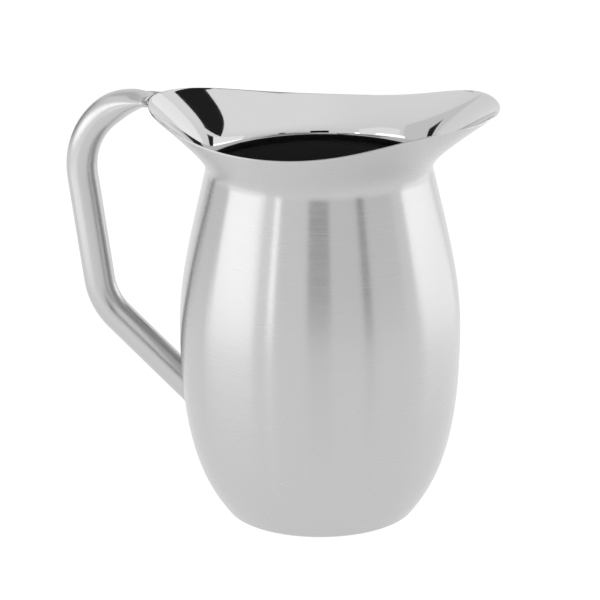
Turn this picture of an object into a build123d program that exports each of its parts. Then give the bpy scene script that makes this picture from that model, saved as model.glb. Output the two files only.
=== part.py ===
from build123d import *
from math import atan, cos, pi, radians, sin, sqrt, tan
import os

os.makedirs("parts", exist_ok=True)

# Frame: origin at the centre of the base on the table, +Z up, +X toward the spout,
# handle on the -X side. The pitcher is symmetric about the XZ plane. Sizes in mm.

# Body, outside surface
overall_height = 203.7                    # spout tip above the table
belly_radius = 67.5                       # widest part of the body
wall = 0.9                                # drawn sheet
belly_height = 0.412 * overall_height
flank_height = 0.098 * overall_height     # where the lower side has become steep
flank_radius = 0.849 * belly_radius
foot_radius = 0.671 * belly_radius        # corner between base and side
foot_flare = 39.0                         # lean of the side as it leaves the table, degrees
neck_height = 0.844 * overall_height      # narrowest section
neck_radius = 0.803 * belly_radius
neck_lean = 13.5                          # lean of the shoulder just below the neck, degrees
neck_bend = 10.0                          # radius that turns the shoulder upright
side_steps = 12                           # points that carry the side's curve to each surface

# Base: a flat contact ring around a raised centre
base_recess = 2.0
ring_width = 6.5
ring_step = 3.5                           # run of the slope from ring to raised centre
foot_round = 1.6                          # outside bend radius of the foot

# Lip: oval sections above the neck, flaring most toward spout and handle
end_flare = 1.42                          # outward run per unit of height at spout and handle
side_flare = 0.49                         # the same, at the two sides
spout_bend = 10.0                         # how gently each flare starts
back_bend = 8.0
side_bend = 3.0
trim_allowance = 4.0                      # surface drawn above the rim before it is trimmed
lip_steps = 8                             # spans between the oval sections

# Rim: height of the trimmed edge along the pitcher
rim_back_height = overall_height - 3.6
rim_hip_height = overall_height - 11.2
rim_low_height = overall_height - 12.8
rim_rise_height = overall_height - 8.5
rim_shoulder_height = overall_height - 0.9
rim_back_fall = 0.2                       # fall of the edge per unit of length at the back

# Handle: round tube in the XZ plane, flattened where it meets the rim
tube_radius = 7.55
tube_wall = 0.9
lower_joint_height = 0.2626 * overall_height   # where the tube's centre line meets the wall
corner_reach = 44.2                       # lower bend's corner beyond the belly
run_slope = 41.5                          # rise of the lower run, degrees
grip_lean = 8.1                           # the grip leans away from the body, degrees
crown_slope = 3.7                         # rise of the top run toward the rim, degrees
lower_bend = 30.0
crown_bend = 36.0
crown_drop = 1.7                          # centre line below the rim's back edge
flat_half_height = 3.1                    # flattened end, half its height
flatten_length = 24.0                     # tube length over which it flattens
end_overrun = 6.0                         # extra length at the rim, cut back to the lip
run_overrun = 14.0                        # the same at the body

# Welds
lower_bead = 3.2                          # width of the lower bead at the wall
lower_bead_reach = 2.6                    # its height off the wall
bead_depth = 6.0                          # how far it is drawn into the body before trimming
upper_bead = 0.8
upper_bead_reach = 2.0
bead_edge = 0.25                          # thickness left at a bead's thin edge


def flare(rise, slope, bend):
    """Outward run of the lip at a given height above the neck."""
    return slope * (sqrt(rise**2 + bend**2) - bend)


def inset(rise, slope, bend, depth):
    """Horizontal distance that moves the flared wall inward by depth."""
    return depth * sqrt(1 + (slope * rise) ** 2 / (rise**2 + bend**2))


def lip_reach(rise, slope, bend, depth):
    """Distance from the axis to the lip surface, moved inward by depth."""
    return neck_radius + flare(rise, slope, bend) - inset(rise, slope, bend, depth)


def lip_loft(depth, mode):
    """Solid inside the lip surface, from the neck to above the rim."""
    top_rise = overall_height - neck_height + trim_allowance
    sections = []
    for step in range(lip_steps + 1):
        rise = top_rise * step / lip_steps
        front = lip_reach(rise, end_flare, spout_bend, depth)
        back = lip_reach(rise, end_flare, back_bend, depth)
        side = lip_reach(rise, side_flare, side_bend, depth)
        with BuildSketch(Plane.XY.offset(neck_height + rise)) as section:
            with Locations(((front - back) / 2, 0)):
                Ellipse((front + back) / 2, side)
        sections.append(section.sketch.face())
    loft(sections, mode=mode)


# Outside of the body from the foot to the neck bend, drawn as (radius, height)
with BuildLine() as side:
    Spline(
        (foot_radius, 0),
        (flank_radius, flank_height),
        (belly_radius, belly_height),
        (
            neck_radius + neck_bend * (1 - cos(radians(neck_lean))),
            neck_height - neck_bend * sin(radians(neck_lean)),
        ),
        tangents=[
            (sin(radians(foot_flare)), cos(radians(foot_flare))),
            (-sin(radians(neck_lean)), cos(radians(neck_lean))),
        ],
    )
side_edge = side.edge()


def skin_line(depth):
    """Surface of the sheet from the middle of the base to the neck, moved inward by depth."""
    step_shift = depth * tan(atan(base_recess / ring_step) / 2)
    foot_shift = depth * tan(radians(90 - foot_flare) / 2)
    foot = Polyline(
        (0, base_recess + depth),
        (foot_radius - ring_width - ring_step + step_shift, base_recess + depth),
        (foot_radius - ring_width + step_shift, depth),
        (foot_radius - foot_shift, depth),
    )
    points = []
    for step in range(1, side_steps + 1):
        place = step / side_steps
        point = side_edge @ place + (side_edge % place).rotate(Axis.Z, 90) * depth
        points.append((point.X, point.Y))
    ends = [side_edge % 0, side_edge % 1]
    Spline(foot @ 1, *points, tangents=[(end.X, end.Y) for end in ends])
    RadiusArc(points[-1], (neck_radius - depth, neck_height), neck_bend + depth)


# Everything inside the body's outside surface, with the lip drawn past the rim
with BuildPart() as envelope:
    with BuildSketch(Plane.XZ):
        with BuildLine():
            skin_line(0)
            Polyline((neck_radius, neck_height), (0, neck_height), (0, base_recess))
        make_face()
    revolve(axis=Axis.Z)
    lip_loft(0, Mode.ADD)

# Space above the rim
with BuildPart() as above_rim:
    with BuildSketch(Plane.XZ):
        with BuildLine():
            rim = Spline(
                (-1.25 * belly_radius, rim_back_height),
                (-0.64 * belly_radius, rim_hip_height),
                (-0.13 * belly_radius, rim_low_height),
                (0.48 * belly_radius, rim_rise_height),
                (0.98 * belly_radius, rim_shoulder_height),
                (1.35 * belly_radius, overall_height),
                tangents=[(1, -rim_back_fall), (1, 0)],
            )
            sky = overall_height + 2 * trim_allowance
            Polyline(rim @ 1, (2 * belly_radius, overall_height), (2 * belly_radius, sky),
                     (-2 * belly_radius, sky), (-2 * belly_radius, rim_back_height), rim @ 0)
        make_face()
    extrude(amount=2 * belly_radius, both=True)

with BuildPart() as body_shell:
    with BuildSketch(Plane.XZ):
        with BuildLine():
            skin_line(0)
            skin_line(wall)
            Line((0, base_recess), (0, base_recess + wall))
            Line((neck_radius, neck_height), (neck_radius - wall, neck_height))
        make_face()
    revolve(axis=Axis.Z)
    lip_loft(0, Mode.ADD)
    lip_loft(wall, Mode.SUBTRACT)
    add(above_rim.part, mode=Mode.SUBTRACT)
    fillet(body_shell.edges().group_by(Axis.Z)[0].sort_by(SortBy.LENGTH)[-1], foot_round)
body_shell.part.label = "body_shell"

# Handle centre line: lower run, lower bend, grip, crown, top run into the back of the rim
back_reach = lip_reach(rim_back_height - neck_height, end_flare, back_bend, 0)
wall_line = Axis((0, lower_joint_height, 0), (1, 0, 0))
wall_point = side_edge.find_intersection_points(wall_line)[0]
wall_slope = side_edge % side_edge.param_at_point(wall_point)
wall_normal = Vector(-wall_slope.Y, 0, -wall_slope.X)
lower_joint = Vector(-wall_point.X, 0, lower_joint_height)
outward = Vector(-cos(radians(run_slope)), 0, sin(radians(run_slope)))
run = belly_radius + corner_reach - wall_point.X
low_corner = lower_joint + outward * (run / cos(radians(run_slope)))
rim_joint = Vector(-back_reach, 0, rim_back_height - crown_drop)
# The grip line and the top run line meet at the crown's corner
span = rim_joint - low_corner
grip_rise = (span.Z - span.X * tan(radians(crown_slope))) / (
    1 + tan(radians(grip_lean)) * tan(radians(crown_slope))
)
top_corner = low_corner + Vector(-grip_rise * tan(radians(grip_lean)), 0, grip_rise)
inward = Vector(cos(radians(crown_slope)), 0, sin(radians(crown_slope)))

with BuildLine(Plane.XZ) as handle_line:
    Polyline(
        lower_joint - outward * run_overrun,
        low_corner,
        top_corner,
        rim_joint + inward * end_overrun,
    )
    fillet(handle_line.vertices().sort_by(Axis.Z)[1], lower_bend)
    fillet(handle_line.vertices().sort_by(Axis.X)[0], crown_bend)
handle_path = handle_line.wire()
if (handle_path @ 0).Z > (handle_path @ 1).Z:
    raise ValueError("the handle's centre line must run from the lower joint up to the rim")


def across(distance):
    """Plane square to the centre line, at a distance along it from the upper end."""
    place = 1 - distance / handle_path.length
    return Plane(origin=handle_path @ place, x_dir=(0, 1, 0), z_dir=handle_path % place)


def oval(distance, fraction, growth):
    """Section of the tube: round at fraction 1, flattened at 0; its girth stays the same."""
    half_height = flat_half_height + (tube_radius - flat_half_height) * sin(fraction * pi / 2)
    half_width = sqrt(2 * tube_radius**2 - half_height**2)
    with BuildSketch(across(distance)) as section:
        Ellipse(half_width + growth, half_height + growth)
    return section.sketch.face()


def tube_solid(depth, mode):
    """Solid inside the handle's surface, moved inward by depth."""
    round_end = end_overrun + flatten_length
    with BuildSketch(across(handle_path.length)) as start:
        Circle(tube_radius - depth)
    sweep(start.sketch, handle_path.trim(0, 1 - round_end / handle_path.length), mode=mode)
    sections = [
        oval(end_overrun + flatten_length * fraction, fraction, -depth)
        for fraction in (1.0, 0.85, 0.5, 0.2, 0.0)
    ]
    loft(sections + [oval(0, 0, -depth)], mode=mode)


# Everything inside the handle's outside surface
with BuildPart() as handle_core:
    tube_solid(0, Mode.ADD)

with BuildPart() as handle_tube:
    add(handle_core.part)
    tube_solid(tube_wall, Mode.SUBTRACT)
    add(envelope.part, mode=Mode.SUBTRACT)
handle_tube.part.label = "handle_tube"


def wall_oval(offset_out, growth):
    """The tube cut parallel to the wall at the lower joint, at a distance outside the wall."""
    slant = outward.dot(wall_normal)
    middle = lower_joint + outward * (offset_out / slant)
    with BuildSketch(Plane(origin=middle, x_dir=(0, 1, 0), z_dir=wall_normal)) as section:
        Ellipse(tube_radius + growth, tube_radius / slant + growth)
    return section.sketch.face()


# Bead around the tube's lower end, spreading toward the wall
with BuildPart() as lower_handle_weld:
    spread = (lower_bead - bead_edge) * (1 + bead_depth / lower_bead_reach)
    loft([wall_oval(-bead_depth, bead_edge + spread), wall_oval(lower_bead_reach, bead_edge)])
    add(handle_core.part, mode=Mode.SUBTRACT)
    add(envelope.part, mode=Mode.SUBTRACT)
lower_handle_weld.part.label = "lower_handle_weld"

# Bead under and beside the flattened end, none above the rim
with BuildPart() as upper_handle_weld:
    loft(
        [
            oval(0, 0, upper_bead),
            oval(end_overrun, 0, upper_bead),
            oval(end_overrun + upper_bead_reach, upper_bead_reach / flatten_length, bead_edge),
        ]
    )
    add(handle_core.part, mode=Mode.SUBTRACT)
    add(envelope.part, mode=Mode.SUBTRACT)
    add(above_rim.part, mode=Mode.SUBTRACT)
upper_handle_weld.part.label = "upper_handle_weld"

for piece in (body_shell, handle_tube, lower_handle_weld, upper_handle_weld):
    export_step(piece.part, f"parts/{piece.part.label}.step")
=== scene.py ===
from math import atan2, ceil, cos, pi, radians, sin, sqrt, tan

import bmesh
import bpy
import numpy as np
from mathutils import Matrix, Vector
from mathutils.bvhtree import BVHTree
from mathutils.geometry import interpolate_bezier


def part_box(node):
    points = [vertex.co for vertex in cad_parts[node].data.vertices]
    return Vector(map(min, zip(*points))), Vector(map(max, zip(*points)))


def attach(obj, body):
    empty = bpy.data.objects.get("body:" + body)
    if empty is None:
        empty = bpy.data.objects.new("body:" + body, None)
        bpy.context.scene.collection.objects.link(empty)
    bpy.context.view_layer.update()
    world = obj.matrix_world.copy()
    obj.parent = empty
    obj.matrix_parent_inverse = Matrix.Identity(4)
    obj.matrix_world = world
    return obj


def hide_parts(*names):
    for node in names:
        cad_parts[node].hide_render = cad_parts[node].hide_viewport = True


bl_info = {
    "name": "Bell Water Pitcher",
    "version": (1, 0, 0),
    "blender": (4, 5, 0),
    "location": "3D View > Sidebar > Pitcher",
    "description": "Builds a drawn stainless steel water pitcher with a tube handle, and its stage",
    "category": "Object",
}

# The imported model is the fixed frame: +X toward the spout, handle on the -X side, table at Z 0
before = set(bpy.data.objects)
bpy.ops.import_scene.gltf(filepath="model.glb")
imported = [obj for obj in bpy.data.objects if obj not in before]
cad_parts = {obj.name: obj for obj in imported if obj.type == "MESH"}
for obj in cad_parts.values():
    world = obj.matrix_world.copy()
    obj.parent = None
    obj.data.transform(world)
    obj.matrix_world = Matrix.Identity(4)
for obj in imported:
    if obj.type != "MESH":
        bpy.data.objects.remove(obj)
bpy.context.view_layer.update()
BODY_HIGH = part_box("body_shell")[1]
HEIGHT = BODY_HIGH.z
BELLY = BODY_HIGH.y
ROOT = "root"

# Names of the pieces, and slot names that are passed to finish_piece but not used there
SHELL, HANDLE = "pitcher_body", "pitcher_handle"
LOWER_FILLET, UPPER_FILLET = "lower_handle_fillet", "upper_handle_fillet"
SATIN_SLOT, POLISHED_SLOT = "satin_steel", "polished_steel"

# Mesh density
TURN_STEPS = 240                          # columns round the body
TUBE_SIDES = 56                           # columns round the handle
SIDE_STEPS = 14                           # rows in each span of the side's curve
NECK_STEPS = 5                            # rows in the bend just below the neck
LIP_ROWS = 34                             # rows from the neck to the rim
LIP_CROWDING = 1.4                        # power that crowds them toward the neck
RIM_STEPS = 40                            # points in each span of the rim's curve
FOOT_BEVEL, RING_BEVEL, RIM_BEVEL = 6, 4, 4  # rows in the rounding of an edge
RUN_SPACING, BEND_SPACING = 0.006, 0.0015  # between rings of the handle, straight and bent
WELD_ROWS = 7                             # rings down the hollow of a weld
FLOOR_SIDES = 96

# Tests and limits
SAME_PLACE = 1e-6                         # points closer than this are one point
SHARP_EDGE = radians(60)                  # only the rim's two edges turn by more than this
RIM_TRIES = 30                            # rounds in which the lip's edge settles on the rim line
SLOPE_SHARE = 0.95                        # the rim's lean is taken from this share of its height up
SEAT_LIMIT = 0.03                         # furthest that a handle's end runs on to the body

# Surface patterns, in metres: real brush and buff lines are about 0.05 mm apart, too fine to show,
# so they are drawn coarser
BRUSH_SPACING, BRUSH_LENGTH = 0.0006, 0.025
BUFF_SPACING, BUFF_LENGTH = 0.0012, 0.02
WAVE_SPACING, SMUDGE_SPACING = 0.03, 0.006
BRUSH_DEPTH, BUFF_DEPTH, WAVE_DEPTH = 0.000003, 0.000002, 0.0001
# The same height also blends the lip's colour into the painted shade of the inside
POLISH_EDGE = 0.004                       # height over which the polish ends below the neck
LINE_TONE, LINE_ROUGH = 0.03, 0.04        # how far the lines change the tone and the roughness
SMUDGE_SHARE = 0.5                        # how far smudges change the lip's roughness, as a share

# How firmly the body's curves hold their end directions
FOOT_PULL, NECK_PULL = 1.02, 1.785
BACK_PULL, SPOUT_PULL = 1.046, 1.419
# Where the rim's points stand toward the spout, in belly radii from the axis
RIM_STATIONS = (-1.25, -0.64, -0.13, 0.48, 0.98, 1.35)

# Shares of the sheet's thickness that the tube's ends and the welds reach into it
TUBE_SINK, WELD_SINK = 1 / 2, 1 / 3
WELD_HOLLOW = 2 / 3                       # how far a weld's curve is drawn into its corner

# The studio's panels as seen from the object, named from where the camera stands: azimuth (0 at the
# spout, 90 at +Y), elevation, width, height and roll in degrees, distance in metres, and brightness
CARDS = (
    ("left_softbox", -148, 4, 46, 30, 0, 2.4, 2.05),
    ("left_bounce", -148, -9, 46, 13, 0, 0.38, 1.45),
    ("left_strip_light", -113, 4, 5, 24, 0, 2.4, 2.5),
    ("camera_and_stand", -73, 12.5, 19, 17, 0, 2.4, 0.0),
    ("front_grey_screen", -30, 9, 62, 26, 0, 2.5, 0.78),
    ("front_dark_flag", -33, 6, 7, 28, 0, 2.4, 0.1),
    ("right_softbox", 40, 5, 50, 28, 0, 2.4, 1.95),
    ("right_bounce", 40, -9, 50, 13, 0, 0.38, 1.35),
    ("overhead_black_flag", 57, 45, 15, 28, 8, 2.4, 0.02),
    ("flag_pole", 65, 21, 6, 14, 0, 2.3, 0.02),
    ("back_dark_flag", 154, 4, 18, 28, 0, 2.4, 0.15),
    ("back_pole", 154, 20.5, 6, 11, -20, 2.3, 0.02),
    ("back_grey_screen", 168, 13, 42, 34, 0, 2.5, 0.82),
    ("upper_back_screen", 118, 47, 60, 20, 0, 2.6, 0.68),
    ("side_light", 83, 20, 12, 24, 0, 2.5, 1.2),
    ("left_halo", -140, 10, 46, 34, 0, 2.5, 1.13),
    ("right_halo", 38, 12, 46, 36, 0, 2.5, 1.18),
    ("ceiling", -90, 88, 50, 50, 0, 2.4, 0.5),
)
FLOOR_GAP = 0.0001                        # keeps the floor clear of the contact ring


def length(name, description, default):
    """A size in metres."""
    return bpy.props.FloatProperty(
        name=name, description=description, default=default, unit="LENGTH", subtype="DISTANCE"
    )


def angle(name, description, degrees):
    """An angle, stored in radians."""
    return bpy.props.FloatProperty(
        name=name, description=description, default=radians(degrees),
        unit="ROTATION", subtype="ANGLE",
    )


def amount(name, description, default, low=0.0, high=1.0):
    """A plain number."""
    return bpy.props.FloatProperty(
        name=name, description=description, default=default, min=low, max=high, subtype="FACTOR"
    )


def linear(hex_code):
    """An sRGB hex colour as linear red, green and blue."""
    channels = [int(hex_code[i:i + 2], 16) / 255 for i in (0, 2, 4)]
    return [c / 12.92 if c <= 0.04045 else ((c + 0.055) / 1.055) ** 2.4 for c in channels]


def colour(name, description, hex_code):
    """A linear colour, given as an sRGB hex."""
    return bpy.props.FloatVectorProperty(
        name=name, description=description, default=linear(hex_code),
        min=0.0, max=1.0, subtype="COLOR",
    )


class PitcherBodySizes(bpy.types.PropertyGroup):
    """Sizes of the drawn body."""

    height: length("Height", "Spout tip above the table", HEIGHT)
    belly_radius: length("Belly Radius", "Widest part of the body", BELLY)
    wall: length("Wall", "Thickness of the sheet", 0.0009)
    belly_height: length("Belly Height", "Height of the widest part", 0.412 * HEIGHT)
    flank_height: length("Flank Height", "Where the lower side has become steep", 0.098 * HEIGHT)
    flank_radius: length("Flank Radius", "Radius at the flank", 0.849 * BELLY)
    foot_radius: length("Foot Radius", "Corner between base and side", 0.671 * BELLY)
    foot_flare: angle("Foot Flare", "Lean of the side as it leaves the table", 39)
    neck_height: length("Neck Height", "Height of the narrowest section", 0.844 * HEIGHT)
    neck_radius: length("Neck Radius", "Radius of the narrowest section", 0.803 * BELLY)
    neck_lean: angle("Neck Lean", "Lean of the shoulder just below the neck", 13.5)
    neck_bend: length("Neck Bend", "Radius that turns the shoulder upright", 0.010)
    base_recess: length("Base Recess", "Rise of the base's centre over its contact ring", 0.002)
    ring_width: length("Ring Width", "Width of the contact ring", 0.0065)
    ring_step: length("Ring Step", "Run of the slope from ring to raised centre", 0.0035)
    foot_round: length("Foot Round", "Bend radius of the foot", 0.0016)
    ring_round: length("Ring Round", "Rounding of the edges inside the contact ring", 0.0008)
    end_flare: amount("End Flare", "Outward run per unit of height at spout and handle", 1.42, 0, 3)
    side_flare: amount("Side Flare", "Outward run per unit of height at the sides", 0.49, 0, 3)
    spout_bend: length("Spout Bend", "How gently the spout's flare starts", 0.010)
    back_bend: length("Back Bend", "How gently the flare behind starts", 0.008)
    side_bend: length("Side Bend", "How gently the sides' flare starts", 0.003)
    rim_back: length("Rim Back", "Fall of the rim from the spout's height, at the handle", 0.0036)
    rim_hip: length("Rim Hip", "The same, behind the middle", 0.0112)
    rim_low: length("Rim Low", "The same, where the rim is lowest", 0.0128)
    rim_rise: length("Rim Rise", "The same, ahead of the middle", 0.0085)
    rim_shoulder: length("Rim Shoulder", "The same, just behind the spout", 0.0009)
    rim_fall: amount("Rim Fall", "Fall of the rim per unit of length, at the handle", 0.2)
    rim_round: length("Rim Round", "Rounding of the rim's two edges", 0.0003)


class PitcherHandleSizes(bpy.types.PropertyGroup):
    """Sizes of the tube handle and of the fillets at its ends."""

    tube_radius: length("Tube Radius", "Radius of the round tube", 0.00755)
    lower_joint: length("Lower Joint", "Height where the tube meets the body", 0.2626 * HEIGHT)
    corner_reach: length("Corner Reach", "Lower bend's corner beyond the belly", 0.0442)
    run_slope: angle("Run Slope", "Rise of the lower run", 41.5)
    grip_lean: angle("Grip Lean", "Lean of the grip away from the body", 8.1)
    crown_slope: angle("Crown Slope", "Rise of the top run toward the rim", 3.7)
    lower_bend: length("Lower Bend", "Radius of the lower bend", 0.030)
    crown_bend: length("Crown Bend", "Radius of the top bend", 0.036)
    crown_drop: length("Crown Drop", "Centre line below the rim's back edge", 0.0017)
    flat_half: length("Flat Half Height", "Half the height of the flattened end", 0.0031)
    flatten: length("Flatten Length", "Length over which the tube flattens", 0.024)
    clear_run: length("Clear Run", "Where the lower run's rings start, beyond the wall", 0.013)
    blend: length("Rim Blend", "Length over which the tube eases on to the rim", 0.007)
    lower_fillet: length("Lower Fillet", "Size of the ground weld at the body", 0.0026)
    upper_fillet: length("Upper Fillet", "Size of the ground weld at the rim", 0.0011)


class PitcherFinish(bpy.types.PropertyGroup):
    """Colours and surface of the steel."""

    satin: colour("Satin Steel", "Reflection colour of the brushed outside", "C4C4C4")
    mirror: colour("Mirror Steel", "Reflection colour of the polished lip", "CECECE")
    buffed: colour("Buffed Steel", "Reflection colour of the handle", "C2C2C2")
    satin_rough: amount("Satin Roughness", "Blur of the brushed outside", 0.26)
    satin_stretch: amount("Satin Stretch", "How much more it blurs across the grain", 0.95)
    mirror_rough: amount("Mirror Roughness", "Blur of the polished lip", 0.05)
    # Darker than the lip's steel: painted shade of the pitcher's dark inside, not a different metal
    inside: colour("Dull Inside", "Reflection colour of the inside below the neck", "8C8C8C")
    inside_rough: amount("Inside Roughness", "Blur of the inside below the neck", 0.45)
    buffed_rough: amount("Buffed Roughness", "Blur of the handle", 0.29)


class PitcherStage(bpy.types.PropertyGroup):
    """Camera, floor and studio light."""

    camera_turn: angle("Camera Turn", "Camera's turn to the right of square on", 17.84)
    camera_rise: angle("Camera Rise", "Camera's height angle", 18.24)
    camera_roll: angle("Camera Roll", "Camera's tilt to one side", -0.39)
    camera_distance: length("Camera Distance", "Camera from its aim point", 1.7158)
    aim_across: length("Aim Across", "Aim point to the right of the body's axis", -0.00959)
    aim_height: length("Aim Height", "Aim point above the table", 0.10487)
    lens: bpy.props.FloatProperty(
        name="Lens", description="Focal length in millimetres", default=213.7, min=1
    )
    floor_radius: length("Floor Radius", "Edge of the round floor", 5.0)
    floor_glow: amount("Floor Glow", "Light that the lit floor gives off", 0.98, 0, 2)
    floor_bounce: amount("Floor Bounce", "Share of the studio's light that it returns", 0.08)
    room: amount("Room", "Brightness of the upper part of the white room", 1.08, 0, 2)
    wall: amount("Wall", "Brightness of the room's walls", 0.94, 0, 2)
    wall_top: angle("Wall Top", "Elevation where the room starts to brighten", 20)
    room_top: angle("Room Top", "Elevation where it is brightest", 42)
    paper: colour("Paper", "Floor", "FDFDFD")


# --- Curves ---


def smooth_line(points, start, end, steps):
    """Points of a smooth cubic line through the given ones. start and end are its directions there,
    and the longer one is, the further the line keeps to it."""
    places = [Vector(p) for p in points]
    gaps = [(b - a).length for a, b in zip(places, places[1:])]
    slopes = [(b - a) / gap for a, b, gap in zip(places, places[1:], gaps)]
    count = len(places)
    matrix, known = np.eye(count), np.zeros((count, 3))
    known[0], known[-1] = start, end
    for i in range(1, count - 1):
        before, after = gaps[i - 1], gaps[i]
        matrix[i, i - 1:i + 2] = after, 2 * (before + after), before
        known[i] = 3 * (after * slopes[i - 1] + before * slopes[i])
    directions = [Vector(row) for row in np.linalg.solve(matrix, known)]
    line = [places[0]]
    for i, gap in enumerate(gaps):
        begin, close = places[i], places[i + 1]
        out, back = directions[i] * gap / 3, directions[i + 1] * gap / 3
        line += interpolate_bezier(begin, begin + out, close - back, close, steps + 1)[1:]
    return line


def arc(start, turn, centre, steps):
    """Points after start on an arc round a centre in the XZ plane."""
    points = []
    for step in range(1, steps + 1):
        points.append(centre + Matrix.Rotation(turn * step / steps, 3, "Y") @ (start - centre))
    return points


# --- Body ---


def side_line(body):
    """Outside of the side from the foot to the neck, in the XZ plane."""
    line = smooth_line(
        [
            (body.foot_radius, 0, 0),
            (body.flank_radius, 0, body.flank_height),
            (body.belly_radius, 0, body.belly_height),
            (
                body.neck_radius + body.neck_bend * (1 - cos(body.neck_lean)),
                0,
                body.neck_height - body.neck_bend * sin(body.neck_lean),
            ),
        ],
        FOOT_PULL * Vector((sin(body.foot_flare), 0, cos(body.foot_flare))),
        NECK_PULL * Vector((-sin(body.neck_lean), 0, cos(body.neck_lean))),
        SIDE_STEPS,
    )
    centre = Vector((body.neck_radius + body.neck_bend, 0, body.neck_height))
    return line + arc(line[-1], body.neck_lean, centre, NECK_STEPS)


def rim_line(body):
    """The rim seen from the side: its height along the pitcher."""
    falls = (body.rim_back, body.rim_hip, body.rim_low, body.rim_rise, body.rim_shoulder, 0)
    points = []
    for station, fall in zip(RIM_STATIONS, falls):
        points.append((station * body.belly_radius, 0, body.height - fall))
    start = BACK_PULL * Vector((1, 0, -body.rim_fall)).normalized()
    return smooth_line(points, start, SPOUT_PULL * Vector((1, 0, 0)), RIM_STEPS)


def flare(rise, slope, bend):
    """Outward run of the lip at a height above the neck."""
    return slope * (sqrt(rise**2 + bend**2) - bend)


def lip_point(body, turn, rise):
    """Point of the lip's outside at an angle round the axis and a height above the neck."""
    front = body.neck_radius + flare(rise, body.end_flare, body.spout_bend)
    back = body.neck_radius + flare(rise, body.end_flare, body.back_bend)
    side = body.neck_radius + flare(rise, body.side_flare, body.side_bend)
    middle, reach = (front - back) / 2, (front + back) / 2
    return Vector((middle + reach * cos(turn), side * sin(turn), body.neck_height + rise))


def lip_rise(body, rim, turn):
    """Height of the lip's outer edge above the neck: cut square, with its middle on the rim line."""
    rise = body.height - body.neck_height
    for _ in range(RIM_TRIES):
        edge = lip_point(body, turn, rise)
        slope = (edge - lip_point(body, turn, SLOPE_SHARE * rise)).normalized()
        lean = sqrt(1 - slope.z**2)
        rise = np.interp(edge.x, *rim) - body.neck_height - body.wall / 2 * lean
    return rise


def flare_collar(bm, body, collar):
    """Opens the straight collar above the neck into the lip, with its rim cut to height."""
    line = rim_line(body)
    rim = [p.x for p in line], [p.z for p in line]
    rises = {}
    for vert in bm.verts:
        share = (vert.co.z - body.neck_height) / collar
        if share > SAME_PLACE:
            turn = atan2(vert.co.y, vert.co.x)
            column = round(turn, 5)
            if column not in rises:
                rises[column] = lip_rise(body, rim, turn)
            vert.co = lip_point(body, turn, share * rises[column])


def on_ring(vert, radius, height):
    """Whether a vertex lies on a ring round the axis."""
    return abs(vert.co.z - height) < SAME_PLACE and abs(vert.co.xy.length - radius) < SAME_PLACE


def ring_edges(bm, radius, height):
    """The edges that lie on a ring round the axis."""
    return [edge for edge in bm.edges if all(on_ring(vert, radius, height) for vert in edge.verts)]


def round_edges(bm, edges, offset, rows):
    """Rounds edges, starting at a distance from them."""
    bmesh.ops.bevel(
        bm, geom=edges, offset=offset, offset_type="OFFSET", affect="EDGES",
        segments=rows, profile=0.5, material=-1,
    )


def finish_piece(bm, name, nodes, slot, *materials):
    """Turns a bmesh into a smooth piece that rides on the body and stands for CAD nodes."""
    mesh = bpy.data.meshes.new(name)
    bm.to_mesh(mesh)
    bm.free()
    mesh.shade_smooth()
    for material in materials:
        mesh.materials.append(material)
    piece = bpy.data.objects.new(name, mesh)
    bpy.context.scene.collection.objects.link(piece)
    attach(piece, ROOT)
    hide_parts(*nodes)
    return piece


class PITCHER_OT_body(bpy.types.Operator):
    """Build the drawn body: base, side, neck and flared lip, all one sheet"""

    bl_idname = "pitcher.body"
    bl_label = "Drawn Body"

    def execute(self, context):
        body = context.scene.pitcher_body
        collar = body.height - body.neck_height
        ring_inside = body.foot_radius - body.ring_width
        step_inside = ring_inside - body.ring_step
        profile = [
            Vector((0, 0, body.base_recess)),
            Vector((step_inside, 0, body.base_recess)),
            Vector((ring_inside, 0, 0)),
            *side_line(body),
        ]
        for row in range(1, LIP_ROWS + 1):
            share = (row / LIP_ROWS) ** LIP_CROWDING
            profile.append(Vector((body.neck_radius, 0, body.neck_height + collar * share)))

        bm = bmesh.new()
        verts = [bm.verts.new(point) for point in profile]
        edges = [bm.edges.new(pair) for pair in zip(verts, verts[1:])]
        bmesh.ops.spin(
            bm, geom=verts + edges, cent=(0, 0, 0), axis=(0, 0, 1), dvec=(0, 0, 0),
            angle=2 * pi, steps=TURN_STEPS, use_merge=True, use_duplicate=False,
        )
        bmesh.ops.remove_doubles(bm, verts=bm.verts[:], dist=SAME_PLACE)
        bmesh.ops.recalc_face_normals(bm, faces=bm.faces[:])
        foot_offset = body.foot_round * tan((pi / 2 - body.foot_flare) / 2)
        round_edges(bm, ring_edges(bm, body.foot_radius, 0), foot_offset, FOOT_BEVEL)
        inner = ring_edges(bm, ring_inside, 0) + ring_edges(bm, step_inside, body.base_recess)
        round_edges(bm, inner, body.ring_round, RING_BEVEL)
        flare_collar(bm, body, collar)

        # The sheet's thickness: the outside faces stay, the new ones are the inside and the rim
        outside = bm.faces[:]
        bmesh.ops.recalc_face_normals(bm, faces=outside)
        bmesh.ops.solidify(bm, geom=outside, thickness=-body.wall)
        bmesh.ops.reverse_faces(bm, faces=bm.faces[:])
        kept = set(outside)
        for face in bm.faces:
            face.material_index = int(face not in kept)
        rim_edges = []
        for edge in bm.edges:
            above_neck = min(vert.co.z for vert in edge.verts) > body.neck_height
            if above_neck and edge.calc_face_angle(0) > SHARP_EDGE:
                rim_edges.append(edge)
        round_edges(bm, rim_edges, body.rim_round, RIM_BEVEL)
        steels = satin_steel(context), mirror_steel(context)
        finish_piece(bm, SHELL, ["body_shell"], SATIN_SLOT, *steels)
        return {"FINISHED"}


# --- Handle ---


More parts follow.
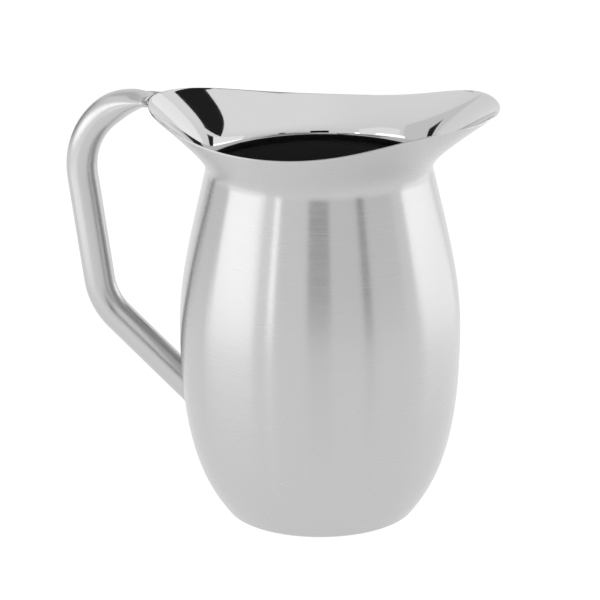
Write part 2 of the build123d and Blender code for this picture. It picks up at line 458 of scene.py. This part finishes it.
def handle_line(body, handle):
    """Centre line of the handle from the body's wall up to the rim, in the XZ plane."""
    side = side_line(body)
    wall_radius = np.interp(handle.lower_joint, [p.z for p in side], [p.x for p in side])
    joint = Vector((-wall_radius, 0, handle.lower_joint))
    outward = Vector((-cos(handle.run_slope), 0, sin(handle.run_slope)))
    run = (body.belly_radius + handle.corner_reach - wall_radius) / cos(handle.run_slope)
    low_corner = joint + outward * run
    rim_height = body.height - body.rim_back
    lip_run = flare(rim_height - body.neck_height, body.end_flare, body.back_bend)
    rim_joint = Vector((-body.neck_radius - lip_run, 0, rim_height - handle.crown_drop))
    span = rim_joint - low_corner
    lean, slope = tan(handle.grip_lean), tan(handle.crown_slope)
    grip_rise = (span.z - span.x * slope) / (1 + lean * slope)
    top_corner = low_corner + Vector((-grip_rise * lean, 0, grip_rise))
    clear = joint + outward * handle.clear_run

    line = [clear]
    corners = [clear, low_corner, top_corner, rim_joint]
    bends = [handle.lower_bend, handle.crown_bend]
    for before, corner, after, bend in zip(corners, corners[1:], corners[2:], bends):
        come, leave = (corner - before).normalized(), (after - corner).normalized()
        turn = come.angle(leave)
        start = corner - come * bend * tan(turn / 2)
        centre = start + bend * Vector((come.z, 0, -come.x))
        gap = start - line[-1]
        pieces = ceil(gap.length / RUN_SPACING)
        line += [line[-1] + gap * step / pieces for step in range(1, pieces + 1)]
        line += arc(start, turn, centre, ceil(bend * turn / BEND_SPACING))
    gap = rim_joint - line[-1]
    pieces = ceil(gap.length / BEND_SPACING)
    return line + [line[-1] + gap * step / pieces for step in range(1, pieces)]


def add_ring(bm, centre, along, half_width, half_height):
    """An oval ring square to a direction in the XZ plane; returns its vertices and edges."""
    across = Vector((0, 1, 0))
    axes = Matrix((across * half_width, along.cross(across) * half_height, along)).transposed()
    matrix = Matrix.Translation(centre) @ axes.to_4x4()
    verts = bmesh.ops.create_circle(bm, segments=TUBE_SIDES, radius=1, matrix=matrix)["verts"]
    return verts, list(dict.fromkeys(edge for vert in verts for edge in vert.link_edges))


def bridge_rings(bm, rings):
    """Joins each ring of edges to the next."""
    for one, other in zip(rings, rings[1:]):
        bmesh.ops.bridge_loops(bm, edges=one + other)


def shell_tree():
    """The body's faces, for finding points on its surface."""
    bm = bmesh.new()
    bm.from_mesh(bpy.data.objects[SHELL].data)
    tree = BVHTree.FromBMesh(bm)
    bm.free()
    return tree


def seat_on_shell(tree, places, direction):
    """Where lines from the places meet the body, or its nearest point if they pass over the rim."""
    seats = []
    for place in places:
        hit, _, _, distance = tree.ray_cast(place, direction)
        if hit is None or distance > SEAT_LIMIT:
            hit = tree.find_nearest(place)[0]
        seats.append(hit)
    return seats


def ease(share):
    """A smooth step from 0 to 1."""
    share = min(max(share, 0), 1)
    return share * share * (3 - 2 * share)


def place_ring(bm, points):
    """A ring through the given points, one for each column of the handle."""
    verts, edges = add_ring(bm, Vector((0, 0, 0)), Vector((1, 0, 0)), 1, 1)
    for vert, point in zip(verts, points):
        vert.co = point
    return verts, edges


def tube_rings(bm, body, handle, tree):
    """The handle's rings from the body's wall to the rim, and the points where each end meets the
    body, with the direction that the tube has there."""
    line = handle_line(body, handle)
    gaps = [(b - a).length for a, b in zip(line, line[1:])]
    rings = []
    for i, centre in enumerate(line):
        along = (line[min(i + 1, len(line) - 1)] - line[max(i - 1, 0)]).normalized()
        fullness = sin(min(sum(gaps[i:]) / handle.flatten, 1) * pi / 2)
        half_height = handle.flat_half + (handle.tube_radius - handle.flat_half) * fullness
        half_width = sqrt(2 * handle.tube_radius**2 - half_height**2)
        rings.append(add_ring(bm, centre, along, half_width, half_height))

    first, last = (line[0] - line[1]).normalized(), (line[-1] - line[-2]).normalized()
    lower = seat_on_shell(tree, [v.co for v in rings[0][0]], first)
    upper = seat_on_shell(tree, [v.co for v in rings[-1][0]], last)
    shifts = [seat - vert.co for seat, vert in zip(upper, rings[-1][0])]
    for i, (verts, _) in enumerate(rings):
        share = ease(1 - sum(gaps[i:]) / handle.blend)
        for vert, shift in zip(verts, shifts):
            vert.co.z += share * shift.z
    return rings, (lower, first), (upper, last)


class PITCHER_OT_handle(bpy.types.Operator):
    """Build the bent tube handle, round below and flattened where it meets the rim"""

    bl_idname = "pitcher.handle"
    bl_label = "Tube Handle"

    def execute(self, context):
        body, handle = context.scene.pitcher_body, context.scene.pitcher_handle
        bm = bmesh.new()
        rings, lower, upper = tube_rings(bm, body, handle, shell_tree())
        # Both ends run on to the body's surface and a little into the sheet
        for (seats, direction), place in ((lower, 0), (upper, len(rings))):
            sink = direction * body.wall * TUBE_SINK
            rings.insert(place, place_ring(bm, [seat + sink for seat in seats]))
        bridge_rings(bm, [edges for _, edges in rings])
        ends = rings[0][1] + rings[-1][1]
        bmesh.ops.holes_fill(bm, edges=ends, sides=0)
        for edge in ends:
            edge.smooth = False
        bmesh.ops.recalc_face_normals(bm, faces=bm.faces[:])
        finish_piece(bm, HANDLE, ["handle_tube"], POLISHED_SLOT, buffed_steel(context))
        return {"FINISHED"}


# --- Welds ---


def surface_normal(tree, place):
    """The body's outward direction at a point of its surface: the mean of the faces that meet there,
    so that a point on an edge gives the same answer each time."""
    found = tree.find_nearest_range(place, SAME_PLACE)
    return sum((normal for _, normal, _, _ in found), Vector()).normalized()


def weld_rings(tree, columns, seats, direction, width, depth):
    """Rings of a ground weld round one end of the tube, as lists of points. Each column runs down
    the tube, curves out on to the body, and returns under both surfaces."""
    centre = sum(seats, Vector()) / len(seats)
    sections = []
    for top, seat in zip(columns, seats):
        outward = seat - centre
        outward = (outward - direction * outward.dot(direction)).normalized()
        foot = tree.find_nearest(seat + outward * width)[0]
        leave, arrive = top.lerp(seat, WELD_HOLLOW), foot.lerp(seat, WELD_HOLLOW)
        curve = interpolate_bezier(top, leave, arrive, foot, WELD_ROWS)
        under_foot = foot - surface_normal(tree, foot) * depth
        corner = seat + (direction - outward) * depth
        sections.append(curve + [under_foot, corner, top - outward * depth])
    return [list(ring) for ring in zip(*sections)]


class PITCHER_OT_welds(bpy.types.Operator):
    """Build the ground welds that fillet the handle into the body's wall and into the rim"""

    bl_idname = "pitcher.welds"
    bl_label = "Handle Welds"

    def execute(self, context):
        body, handle = context.scene.pitcher_body, context.scene.pitcher_handle
        tree = shell_tree()
        # The handle's rings again, only to find where its ends sit and how it comes to the rim
        guide = bmesh.new()
        rings, lower, upper = tube_rings(guide, body, handle, tree)
        near_rim = [vert.co.copy() for vert in rings[-2][0]]
        guide.free()
        tops = [seat - lower[1] * handle.lower_fillet for seat in lower[0]]
        rim_tops = []
        for seat, point in zip(upper[0], near_rim):
            rim_tops.append(seat + (point - seat).normalized() * handle.upper_fillet)
        ends = (
            (LOWER_FILLET, "lower_handle_weld", tops, lower, handle.lower_fillet),
            (UPPER_FILLET, "upper_handle_weld", rim_tops, upper, handle.upper_fillet),
        )
        for name, node, columns, (seats, direction), width in ends:
            bm = bmesh.new()
            points = weld_rings(tree, columns, seats, direction, width, body.wall * WELD_SINK)
            rings = [place_ring(bm, ring)[1] for ring in points]
            bridge_rings(bm, rings + rings[:1])
            for edge in rings[0] + rings[WELD_ROWS - 1]:
                edge.smooth = False
            bmesh.ops.recalc_face_normals(bm, faces=bm.faces[:])
            finish_piece(bm, name, [node], POLISHED_SLOT, buffed_steel(context))
        return {"FINISHED"}


# --- Materials ---


def add_node(material, kind, links=None, **settings):
    """Adds a node: settings name its properties or inputs, links name inputs and their sources."""
    tree = material.node_tree
    node = tree.nodes.new(kind)
    for name, value in settings.items():
        if name in node.bl_rna.properties:
            setattr(node, name, value)
        else:
            node.inputs[name.replace("_", " ")].default_value = value
    for name, source in (links or {}).items():
        tree.links.new(source, node.inputs[name])
    return node


def new_material(name):
    """An empty node material."""
    material = bpy.data.materials.new(name)
    material.use_nodes = True
    material.node_tree.nodes.clear()
    return material


def satin_steel(context):
    """Drawn stainless steel, brushed round the axis: fine level lines that pull every reflection out
    into soft upright bands."""
    finish = context.scene.pitcher_finish
    material = new_material("satin_brushed_stainless_steel")
    place = add_node(material, "ShaderNodeTexCoord").outputs["Object"]
    along, across = 1 / BRUSH_LENGTH, 1 / BRUSH_SPACING
    stretch = add_node(
        material, "ShaderNodeMapping", {"Vector": place}, Scale=(along, along, across),
    )
    grain = add_node(
        material, "ShaderNodeTexNoise", {"Vector": stretch.outputs["Vector"]}, Scale=1.0, Detail=3.0,
    )
    rough = add_node(
        material, "ShaderNodeMapRange", {"Value": grain.outputs["Fac"]},
        To_Min=finish.satin_rough - LINE_ROUGH, To_Max=finish.satin_rough + LINE_ROUGH,
    )
    tone = add_node(material, "ShaderNodeMix", {"Factor": grain.outputs["Fac"]}, data_type="RGBA")
    tone.inputs["A"].default_value = [*(c * (1 - LINE_TONE) for c in finish.satin), 1]
    tone.inputs["B"].default_value = [*(c * (1 + LINE_TONE) for c in finish.satin), 1]
    bump = add_node(
        material, "ShaderNodeBump", {"Height": grain.outputs["Fac"]},
        Strength=0.3, Distance=BRUSH_DEPTH,
    )
    tangent = add_node(material, "ShaderNodeTangent", direction_type="RADIAL", axis="Z")
    shader = add_node(
        material, "ShaderNodeBsdfPrincipled",
        {
            "Base Color": tone.outputs["Result"],
            "Roughness": rough.outputs["Result"],
            "Normal": bump.outputs["Normal"],
            "Tangent": tangent.outputs["Tangent"],
        },
        Metallic=1.0, Anisotropic=finish.satin_stretch, Anisotropic_Rotation=0.25,
    )
    add_node(material, "ShaderNodeOutputMaterial", {"Surface": shader.outputs["BSDF"]})
    return material


def mirror_steel(context):
    """Polished stainless steel inside the lip: crisp reflections, a little wavy where the sheet was
    worked and faintly smudged. Below the neck the sheet is left as drawn and duller, and its colour
    is painted darker there as painted shade of the pitcher's dark inside."""
    finish, body = context.scene.pitcher_finish, context.scene.pitcher_body
    material = new_material("mirror_polished_stainless_steel")
    place = add_node(material, "ShaderNodeTexCoord").outputs["Object"]
    wave = add_node(
        material, "ShaderNodeTexNoise", {"Vector": place}, Scale=1 / WAVE_SPACING, Detail=0.0,
    )
    smudge = add_node(
        material, "ShaderNodeTexNoise", {"Vector": place}, Scale=1 / SMUDGE_SPACING, Detail=4.0,
    )
    height = add_node(material, "ShaderNodeSeparateXYZ", {"Vector": place}).outputs["Z"]
    depth = add_node(
        material, "ShaderNodeMapRange", {"Value": height},
        From_Min=body.neck_height, From_Max=body.neck_height - POLISH_EDGE,
    )
    polished = add_node(
        material, "ShaderNodeMapRange", {"Value": smudge.outputs["Fac"]},
        To_Min=finish.mirror_rough * (1 - SMUDGE_SHARE),
        To_Max=finish.mirror_rough * (1 + SMUDGE_SHARE),
    )
    rough = add_node(
        material, "ShaderNodeMapRange",
        {"Value": depth.outputs["Result"], "To Min": polished.outputs["Result"]},
        To_Max=finish.inside_rough,
    )
    # Below the neck the colour is darkened toward the inside colour: painted shade of the dark inside
    tone = add_node(material, "ShaderNodeMix", {"Factor": depth.outputs["Result"]}, data_type="RGBA")
    tone.inputs["A"].default_value = [*finish.mirror, 1]
    tone.inputs["B"].default_value = [*finish.inside, 1]
    bump = add_node(
        material, "ShaderNodeBump", {"Height": wave.outputs["Fac"]},
        Strength=1.0, Distance=WAVE_DEPTH,
    )
    shader = add_node(
        material, "ShaderNodeBsdfPrincipled",
        {
            "Base Color": tone.outputs["Result"],
            "Roughness": rough.outputs["Result"],
            "Normal": bump.outputs["Normal"],
        },
        Metallic=1.0,
    )
    add_node(material, "ShaderNodeOutputMaterial", {"Surface": shader.outputs["BSDF"]})
    return material


def buffed_steel(context):
    """Stainless steel tube, buffed by hand: softer than the lip, with faint streaks and patches. The
    handle and its welds share it."""
    name = "buffed_stainless_steel_tube"
    if name in bpy.data.materials:
        return bpy.data.materials[name]
    finish = context.scene.pitcher_finish
    material = new_material(name)
    place = add_node(material, "ShaderNodeTexCoord").outputs["Object"]
    along, across = 1 / BUFF_LENGTH, 1 / BUFF_SPACING
    stretch = add_node(
        material, "ShaderNodeMapping", {"Vector": place}, Scale=(across, across, along),
    )
    streak = add_node(
        material, "ShaderNodeTexNoise", {"Vector": stretch.outputs["Vector"]}, Scale=1.0, Detail=3.0,
    )
    rough = add_node(
        material, "ShaderNodeMapRange", {"Value": streak.outputs["Fac"]},
        To_Min=finish.buffed_rough - LINE_ROUGH, To_Max=finish.buffed_rough + LINE_ROUGH,
    )
    bump = add_node(
        material, "ShaderNodeBump", {"Height": streak.outputs["Fac"]},
        Strength=0.4, Distance=BUFF_DEPTH,
    )
    shader = add_node(
        material, "ShaderNodeBsdfPrincipled",
        {"Roughness": rough.outputs["Result"], "Normal": bump.outputs["Normal"]},
        Metallic=1.0, Base_Color=[*finish.buffed, 1],
    )
    add_node(material, "ShaderNodeOutputMaterial", {"Surface": shader.outputs["BSDF"]})
    return material


def glowing(name, tone, brightness, bounce=0.0):
    """A plain surface that glows evenly, and may also catch light and shadow."""
    material = new_material(name)
    shader = add_node(
        material, "ShaderNodeBsdfPrincipled",
        Base_Color=[*(bounce * c for c in tone), 1], Roughness=1.0, Specular_IOR_Level=0.0,
        Emission_Color=[*tone, 1], Emission_Strength=brightness,
    )
    add_node(material, "ShaderNodeOutputMaterial", {"Surface": shader.outputs["BSDF"]})
    return material


def aim_axes(azimuth, rise):
    """Directions to the right, up and back toward the middle, for something that faces the object."""
    back = Vector((cos(azimuth) * cos(rise), sin(azimuth) * cos(rise), sin(rise)))
    right = Vector((-sin(azimuth), cos(azimuth), 0))
    return right, back.cross(right), back


def add_stage_piece(name, bm, material):
    """Turns a bmesh into a piece of the studio."""
    mesh = bpy.data.meshes.new(name)
    bm.to_mesh(mesh)
    bm.free()
    mesh.materials.append(material)
    piece = bpy.data.objects.new(name, mesh)
    bpy.context.scene.collection.objects.link(piece)
    return piece


def add_card(stage, name, azimuth, rise, width, height, roll, reach, brightness):
    """A flat panel that faces the object and shows in reflections only, given by its angles as seen
    from there, in degrees, and its distance."""
    right, up, back = aim_axes(radians(azimuth), radians(rise))
    turn = Matrix.Rotation(radians(roll), 3, back)
    axes = turn @ Matrix((right, up, back)).transposed()
    half_width, half_height = (reach * tan(radians(side / 2)) for side in (width, height))
    size = Matrix.Diagonal((half_width, half_height, 1, 1))
    centre = back * reach + Vector((0, 0, stage.aim_height))
    place = Matrix.Translation(centre) @ axes.to_4x4() @ size
    bm = bmesh.new()
    bmesh.ops.create_grid(bm, x_segments=1, y_segments=1, size=1, matrix=place)
    card = add_stage_piece(name, bm, glowing(name, (1, 1, 1), brightness))
    card.visible_camera = False


class PITCHER_OT_stage(bpy.types.Operator):
    """Build the camera, the floor and the studio light"""

    bl_idname = "pitcher.stage"
    bl_label = "Stage"

    def execute(self, context):
        stage = context.scene.pitcher_stage
        right, up, back = aim_axes(stage.camera_turn - pi / 2, stage.camera_rise)
        turn = Matrix.Rotation(stage.camera_roll, 3, back)
        axes = turn @ Matrix((right, up, back)).transposed()
        aim = right * stage.aim_across + Vector((0, 0, stage.aim_height))
        place = Matrix.Translation(aim + back * stage.camera_distance)
        camera = bpy.data.objects.new("camera", bpy.data.cameras.new("camera"))
        camera.data.lens = stage.lens
        camera.matrix_world = place @ axes.to_4x4()
        context.scene.collection.objects.link(camera)
        context.scene.camera = camera

        world = bpy.data.worlds.new("studio_room")
        world.use_nodes = True
        world.node_tree.nodes.clear()
        direction = add_node(world, "ShaderNodeTexCoord").outputs["Generated"]
        height = add_node(world, "ShaderNodeSeparateXYZ", {"Vector": direction}).outputs["Z"]
        light = add_node(
            world, "ShaderNodeMapRange", {"Value": height}, interpolation_type="SMOOTHSTEP",
            From_Min=sin(stage.wall_top), From_Max=sin(stage.room_top),
            To_Min=stage.wall, To_Max=stage.room,
        )
        glow = add_node(
            world, "ShaderNodeBackground", {"Strength": light.outputs["Result"]},
            Color=(1, 1, 1, 1),
        )
        add_node(world, "ShaderNodeOutputWorld", {"Surface": glow.outputs["Background"]})
        context.scene.world = world
        context.scene.view_settings.view_transform = "Standard"
        for card in CARDS:
            add_card(stage, *card)

        bm = bmesh.new()
        under = Matrix.Translation((0, 0, -FLOOR_GAP))
        bmesh.ops.create_circle(
            bm, cap_ends=True, segments=FLOOR_SIDES, radius=stage.floor_radius, matrix=under,
        )
        paper = glowing("floor_paper", stage.paper, stage.floor_glow, stage.floor_bounce)
        add_stage_piece("floor", bm, paper)
        return {"FINISHED"}


class PITCHER_PT_panel(bpy.types.Panel):
    """Sizes, finishes and build steps of the pitcher"""

    bl_label = "Water Pitcher"
    bl_idname = "PITCHER_PT_panel"
    bl_space_type = "VIEW_3D"
    bl_region_type = "UI"
    bl_category = "Pitcher"

    def draw(self, context):
        scene = context.scene
        steps = (
            (scene.pitcher_stage, ("pitcher.stage",)),
            (scene.pitcher_body, ("pitcher.body",)),
            (scene.pitcher_handle, ("pitcher.handle", "pitcher.welds")),
            (scene.pitcher_finish, ()),
        )
        for group, operators in steps:
            box = self.layout.box()
            for name in group.__annotations__:
                box.prop(group, name)
            for operator in operators:
                box.operator(operator)


CLASSES = (
    PitcherBodySizes,
    PitcherHandleSizes,
    PitcherFinish,
    PitcherStage,
    PITCHER_OT_stage,
    PITCHER_OT_body,
    PITCHER_OT_handle,
    PITCHER_OT_welds,
    PITCHER_PT_panel,
)

GROUPS = {
    "pitcher_body": PitcherBodySizes,
    "pitcher_handle": PitcherHandleSizes,
    "pitcher_finish": PitcherFinish,
    "pitcher_stage": PitcherStage,
}


def register():
    """Adds the classes, and their settings to the scene."""
    for cls in CLASSES:
        bpy.utils.register_class(cls)
    for name, group in GROUPS.items():
        setattr(bpy.types.Scene, name, bpy.props.PointerProperty(type=group))


def unregister():
    """Takes them away again."""
    for name in GROUPS:
        delattr(bpy.types.Scene, name)
    for cls in reversed(CLASSES):
        bpy.utils.unregister_class(cls)


def main():
    """Builds the stage and the pitcher."""
    register()
    bpy.ops.pitcher.stage()
    bpy.ops.pitcher.body()
    bpy.ops.pitcher.handle()
    bpy.ops.pitcher.welds()


if __name__ == "__main__":
    main()
